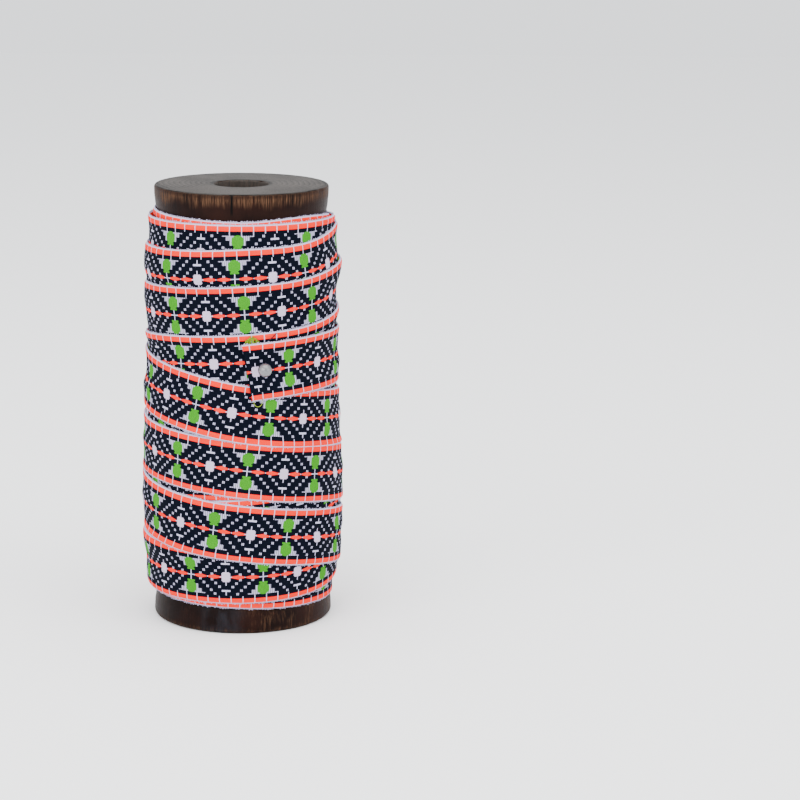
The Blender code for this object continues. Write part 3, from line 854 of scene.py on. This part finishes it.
def thread_finish(name, colour, shade, roughness=0.75):
    """Twisted yarn: its colour breaks up along and across the plies."""
    made, tree, shader = finish_with_shader(name, roughness, Specular_IOR_Level=0.12)
    plies = stretched_noise(tree, 2600, (1, 1, 1), 2)
    tree.links.new(blend_colours(tree, ramp(tree, plies, 0.35, 0.7), colour, shade), shader.inputs["Base Color"])
    bump(tree, shader, plies, 0.05 * MM, 0.6)
    return made


def edge_stretches(side):
    """The stretches of one edge of the strip that show, each as a list of stations."""
    stretches = [[]]
    for i, travel in enumerate(travels):
        height = centres[i] + side * (RIBBON_HALF_WIDTH - EDGE_PROBE)
        row = round((height - MAP_BOTTOM) / MAP_STEP)
        column = round((bearing_of(travel) + 180) / 360 * MAP_COLUMNS) % MAP_COLUMNS
        if abs(owner_map[column, row] - i) <= SAME_TURN:
            stretches[-1].append(i)
        elif stretches[-1]:
            stretches.append([])
    return [stretch for stretch in stretches if len(stretch) > 2]


def edge_lines():
    """A mesh of bare lines along the exposed edges, with each point's way out from the roll."""
    points, lines = [], []
    for side in (-1, 1):
        for stretch in edge_stretches(side):
            for step, i in enumerate(stretch[::-1] if side > 0 else stretch):
                if step:
                    lines.append((len(points) - 1, len(points)))
                points.append(ribbon_point(i, side * 0.998, LOOP_SEAT))
    mesh = bpy.data.meshes.new("edge lines")
    mesh.from_pydata(points, lines, [])
    outward = mesh.attributes.new("outward", "FLOAT_VECTOR", "POINT")
    for place, point in zip(outward.data, points):
        place.vector = Vector((point[0], point[1], 0)).normalized()
    return mesh


def loops_along_lines(finish):
    """Geometry Nodes: lines to curves, a step at a time, a loop of thread on each step."""
    tree = bpy.data.node_groups.new("loops along an edge", "GeometryNodeTree")
    tree.interface.new_socket("Geometry", in_out="INPUT", socket_type="NodeSocketGeometry")
    tree.interface.new_socket("Geometry", in_out="OUTPUT", socket_type="NodeSocketGeometry")

    def node(kind, **inputs):
        made = tree.nodes.new(kind)
        for name, value in inputs.items():
            socket = made.inputs[name.replace("_", " ")]
            if isinstance(value, bpy.types.NodeSocket):
                tree.links.new(value, socket)
            else:
                socket.default_value = value
        return made

    start = tree.nodes.new("NodeGroupInput")
    end = tree.nodes.new("NodeGroupOutput")
    to_curve = node("GeometryNodeMeshToCurve", Mesh=start.outputs[0])
    steps = tree.nodes.new("GeometryNodeResampleCurve")
    steps.mode = "LENGTH"
    tree.links.new(to_curve.outputs[0], steps.inputs["Curve"])
    steps.inputs["Length"].default_value = LOOP_PITCH
    bow = node("GeometryNodeCurveArc", Resolution=LOOP_SEGMENTS, Radius=LOOP_RADIUS, Sweep_Angle=math.pi)
    ply = node("GeometryNodeCurvePrimitiveCircle", Resolution=LOOP_SIDES, Radius=LOOP_THREAD)
    bow_mesh = node("GeometryNodeCurveToMesh", Curve=bow.outputs[0], Profile_Curve=ply.outputs[0])
    outward = tree.nodes.new("GeometryNodeInputNamedAttribute")
    outward.data_type = "FLOAT_VECTOR"
    outward.inputs["Name"].default_value = "outward"
    faced = tree.nodes.new("FunctionNodeAlignRotationToVector")
    faced.axis = "Z"
    tree.links.new(outward.outputs[0], faced.inputs["Vector"])
    tangent = tree.nodes.new("GeometryNodeInputTangent")
    turned = tree.nodes.new("FunctionNodeAlignRotationToVector")
    turned.axis = "X"
    turned.pivot_axis = "Z"
    tree.links.new(faced.outputs[0], turned.inputs["Rotation"])
    tree.links.new(tangent.outputs[0], turned.inputs["Vector"])
    size = tree.nodes.new("FunctionNodeRandomValue")
    size.data_type = "FLOAT_VECTOR"
    size.inputs["Min"].default_value = (0.75, 0.35, 0.8)
    size.inputs["Max"].default_value = (1.35, 1.70, 1.1)
    size.inputs["Seed"].default_value = 7
    set_on = node("GeometryNodeInstanceOnPoints", Points=steps.outputs[0], Instance=bow_mesh.outputs[0])
    tree.links.new(turned.outputs[0], set_on.inputs["Rotation"])
    tree.links.new(size.outputs[0], set_on.inputs["Scale"])
    real = node("GeometryNodeRealizeInstances", Geometry=set_on.outputs[0])
    coated = node("GeometryNodeSetMaterial", Geometry=real.outputs[0], Material=finish)
    tree.links.new(coated.outputs[0], end.inputs[0])
    return tree


selvedge_thread = thread_finish("selvedge thread", (0.52, 0.49, 0.65), (0.25, 0.22, 0.33))
edge_loops = bpy.data.objects.new("edge_loops", edge_lines())
bpy.context.scene.collection.objects.link(edge_loops)
loop_maker = edge_loops.modifiers.new("loops", "NODES")
loop_maker.node_group = loops_along_lines(selvedge_thread)
bpy.context.view_layer.update()
loops_mesh = bpy.data.meshes.new_from_object(edge_loops.evaluated_get(bpy.context.evaluated_depsgraph_get()))
edge_loops.modifiers.remove(loop_maker)
edge_loops.data = loops_mesh
edge_loops.data.shade_smooth()
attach(edge_loops, "root")


# Loose threads
# The free end was cut and not hemmed, so its warp frays a little. Green weft is pulled up over its upper
# corner and hangs in a small loop from its lower one, and a navy thread crosses the edge above it.

FRAY_THREADS = 56
FRAY_SHORTEST, FRAY_LONGEST = 0.25 * MM, 1.3 * MM
THREAD_RADIUS = 0.10 * MM
STRAY_RADIUS = 0.20 * MM
PULLED_THREADS = 17
draw = np.random.default_rng(11)


def on_the_roll(bearing, height, lift):
    """A point over the roll's surface at a bearing in degrees and a height."""
    column = round((bearing + 180) / 360 * MAP_COLUMNS) % MAP_COLUMNS
    radius = np.interp(height, map_heights, radius_map[column]) + lift
    turn = math.radians(bearing)
    return (radius * math.sin(turn), -radius * math.cos(turn), height)


def thread_piece(name, lines, finish, radius=THREAD_RADIUS):
    """Threads as round-bodied curves through their points."""
    curve = bpy.data.curves.new(name, "CURVE")
    curve.dimensions = "3D"
    curve.bevel_depth = radius
    curve.bevel_resolution = 1
    curve.use_fill_caps = True
    for line in lines:
        spline = curve.splines.new("POLY")
        spline.points.add(len(line) - 1)
        for point, place in zip(spline.points, line):
            point.co = (*place, 1.0)
    curve.materials.append(finish)
    piece = bpy.data.objects.new(name, curve)
    bpy.context.scene.collection.objects.link(piece)
    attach(piece, "root")
    return piece


last_station = len(travels) - 1
fray = {"navy": [], "coral": [], "lavender": []}
for share in np.linspace(-0.99, 0.99, FRAY_THREADS):
    threads_out = abs(share) * THREADS_ACROSS / 2
    colour = "lavender" if threads_out > BAND_TO or draw.random() < 0.16 else "navy"
    if BAND_FROM < threads_out < BAND_TO:
        colour = "coral"
    root_point = Vector(ribbon_point(last_station - 1, share, 0.55 * MM))
    tip_way = Vector(ribbon_point(last_station, share, 0.5 * MM)) - Vector(ribbon_point(last_station - 3, share, 0.5 * MM))
    tip_way.normalize()
    length = FRAY_SHORTEST + (FRAY_LONGEST - FRAY_SHORTEST) * draw.random() ** 2
    line = []
    stray = Vector(draw.normal(0, 0.25, 3))
    for step in range(4):
        line.append(root_point + (tip_way * step + stray * step**2 / 6) * (length + 0.6 * MM) / 3)
    fray[colour].append(line)

pulled = []
for k in range(PULLED_THREADS):
    foot, far_foot = sorted(draw.uniform(1.0, 10.5, 2))
    rise = 0.9 * MM + 2.4 * MM * max(0.0, 1 - abs((foot + far_foot) / 2 - 5.4) / 4.5) * draw.uniform(0.6, 1.0)
    pulled.append(
        [
            on_the_roll(
                foot + (far_foot - foot) * share,
                128.0 * MM + rise * math.sin(math.pi * share) - 0.9 * MM * (2 * share - 1) ** 4,
                (0.25 + 0.5 * draw.random() * math.sin(math.pi * share)) * MM,
            )
            for share in np.linspace(0, 1, 9)
        ]
    )
hanging_loop = [
    on_the_roll(8.9 + 2.5 * math.cos(turn), 103.3 * MM - 2.4 * MM * math.sin(turn), 0.7 * MM)
    for turn in np.radians(np.linspace(-20, 200, 15))
]
stray_thread = [
    on_the_roll(14.6 + 5.2 * share, (128.9 + 3.2 * share**1.3) * MM, 0.85 * MM)
    for share in np.linspace(0, 1, 8)
]
navy_thread = thread_finish("navy thread", (0.006, 0.009, 0.022), (0.003, 0.004, 0.012))
coral_thread = thread_finish("coral thread", CORAL, CORAL_DEEP)
green_thread = thread_finish("green thread", (0.23, 0.30, 0.015), (0.085, 0.16, 0.010))
trimmings = [
    thread_piece("frayed_navy", fray["navy"], navy_thread),
    thread_piece("stray_navy_thread", [stray_thread], navy_thread, STRAY_RADIUS),
    thread_piece("frayed_coral", fray["coral"], coral_thread),
    thread_piece("frayed_lavender", fray["lavender"], selvedge_thread),
    thread_piece("pulled_green_threads", pulled, green_thread),
    thread_piece("hanging_green_loop", [hanging_loop], green_thread, STRAY_RADIUS * 0.8),
]


# The pearl-headed pin
# A dressmaker's pin holds the free end down. Its head is an imitation pearl, a glass bead under pearly
# lacquer, a little flattened where it meets the shaft. The shaft is bright steel.

pearl_low, pearl_high = (Vector(corner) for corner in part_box("pearl_head"))
pearl_centre = (pearl_low + pearl_high) / 2
pearl_radius = (pearl_high - pearl_low).x / 2
PEARL_STEPS = 64
pearl_way = Vector((pearl_centre.x, pearl_centre.y, 0)).normalized()


def pearl_lacquer():
    """Grey-white nacre with a faint drift of rose and green, under a clear coat, and painted shade darkening it
    towards its outline.
    """
    made, tree, shader = finish_with_shader(
        "pearl lacquer", 0.30, Specular_IOR_Level=0.5, Coat_Weight=1.0, Coat_Roughness=0.13
    )
    drift = stretched_noise(tree, 260, (1, 1, 1), 2)
    layers = stretched_noise(tree, 900, (1, 1, 3), 3)
    pearl_colour = blend_colours(tree, ramp(tree, drift, 0.38, 0.62), (0.100, 0.097, 0.106), (0.088, 0.095, 0.100))
    pearl_colour = blend_colours(tree, ramp(tree, layers, 0.3, 0.8, 0.0, 0.3), pearl_colour, (0.17, 0.165, 0.17))
    # Painted shade: the colour darkens towards the pearl's outline as its surface turns away from the camera.
    turned_away = tree.nodes.new("ShaderNodeLayerWeight")
    turned_away.inputs["Blend"].default_value = 0.5
    painted_rim_shade = ramp(tree, turned_away.outputs["Facing"], 0.25, 0.85)
    pearl_colour = blend_colours(tree, painted_rim_shade, pearl_colour, (0.016, 0.016, 0.019))
    tree.links.new(pearl_colour, shader.inputs["Base Color"])
    tree.links.new(calc(tree, "MULTIPLY_ADD", layers, 0.12, 0.20), shader.inputs["Roughness"])
    return made


pearl_outline = [
    (pearl_radius * math.sin(a), -pearl_radius * math.cos(a) + 0.12 * MM * max(0.0, math.cos(a)) ** 12)
    for a in np.linspace(math.pi, 0, PEARL_STEPS // 2 + 1)
]
pearl_points, pearl_faces = revolve(pearl_outline, PEARL_STEPS)
to_pearl = Matrix.Translation(pearl_centre) @ pearl_way.to_track_quat("Z", "Y").to_matrix().to_4x4()
pearl_points = [to_pearl @ Vector(point) for point in pearl_points]
pearl = mesh_piece("pearl", pearl_points, pearl_faces, pearl_lacquer())
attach(pearl, "root")
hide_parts("pearl_head")

steel, steel_tree, steel_shader = finish_with_shader("pin steel", 0.22, Metallic=1.0)
drawn_marks = stretched_noise(steel_tree, 3000, (1, 0.1, 1), 2)
steel_colour = blend_colours(steel_tree, drawn_marks, (0.55, 0.55, 0.56), (0.72, 0.72, 0.72))
steel_tree.links.new(steel_colour, steel_shader.inputs["Base Color"])
bump(steel_tree, steel_shader, drawn_marks, 0.02 * MM, 0.4)
for slot in bpy.data.objects["pin_shaft"].material_slots:
    slot.material = steel


# The studio
# A pale floor under soft light from a large overhead source and two sides, and the camera where the
# photograph was taken from: a little above the roll, which stands left of the middle of the frame.

FLOOR_SIZE = 6.0
CAMERA_PLACE = Vector((0.0, -1.1245, 0.3372))
CAMERA_DOWN = math.radians(12.156)
CAMERA_RIGHT = math.radians(3.513)
CAMERA_ROLL = math.radians(0.526)
CAMERA_LENS = 118.17
SENSOR = 36.0

SoftLight = namedtuple("SoftLight", "name place aim size power")
LIGHTS = (
    SoftLight("overhead", (0.1, -0.3, 1.5), (0, 0, 0.1), 1.6, 32),
    SoftLight("front_left", (-1.3, -1.3, 0.9), (0, 0, 0.1), 1.2, 25),
    SoftLight("front_right", (1.4, -1.0, 0.7), (0, 0, 0.1), 1.2, 13),
    SoftLight("sparkle", (-0.35, -1.15, 0.55), (0, 0, 0.12), 0.22, 4.0),
)

floor_half = FLOOR_SIZE / 2
floor_corners = [(x * floor_half, y * floor_half, 0.0) for x, y in ((-1, -1), (1, -1), (1, 1), (-1, 1))]
floor_finish, floor_tree, floor_shader = finish_with_shader("pale floor", 0.7)
floor_shader.inputs["Base Color"].default_value = (0.96, 0.96, 0.96, 1.0)
floor = mesh_piece("floor", floor_corners, [(0, 1, 2, 3)], floor_finish)

for light in LIGHTS:
    lamp_data = bpy.data.lights.new(light.name, "AREA")
    lamp_data.size = light.size
    lamp_data.energy = light.power
    lamp = bpy.data.objects.new(light.name, lamp_data)
    lamp.location = light.place
    lamp.rotation_euler = (Vector(light.aim) - Vector(light.place)).to_track_quat("-Z", "Y").to_euler()
    bpy.context.scene.collection.objects.link(lamp)

sky = bpy.data.worlds.new("studio")
sky.use_nodes = True
sky.node_tree.nodes["Background"].inputs["Color"].default_value = (0.95, 0.97, 1.0, 1.0)
sky.node_tree.nodes["Background"].inputs["Strength"].default_value = 1.7
bpy.context.scene.world = sky

camera_data = bpy.data.cameras.new("camera")
camera_data.lens = CAMERA_LENS
camera_data.sensor_width = SENSOR
camera_data.clip_start = 0.01
camera = bpy.data.objects.new("camera", camera_data)
bpy.context.scene.collection.objects.link(camera)
across = Vector((math.cos(CAMERA_RIGHT), -math.sin(CAMERA_RIGHT), 0.0))
level_ahead = Vector((math.sin(CAMERA_RIGHT), math.cos(CAMERA_RIGHT), 0.0))
ahead = level_ahead * math.cos(CAMERA_DOWN) + Vector((0, 0, -1)) * math.sin(CAMERA_DOWN)
upward = across.cross(ahead)
rolled_across = across * math.cos(CAMERA_ROLL) + upward * math.sin(CAMERA_ROLL)
rolled_upward = upward * math.cos(CAMERA_ROLL) - across * math.sin(CAMERA_ROLL)
camera.matrix_world = Matrix.Translation(CAMERA_PLACE) @ Matrix(
    (rolled_across, rolled_upward, -ahead)
).transposed().to_4x4()
bpy.context.scene.camera = camera
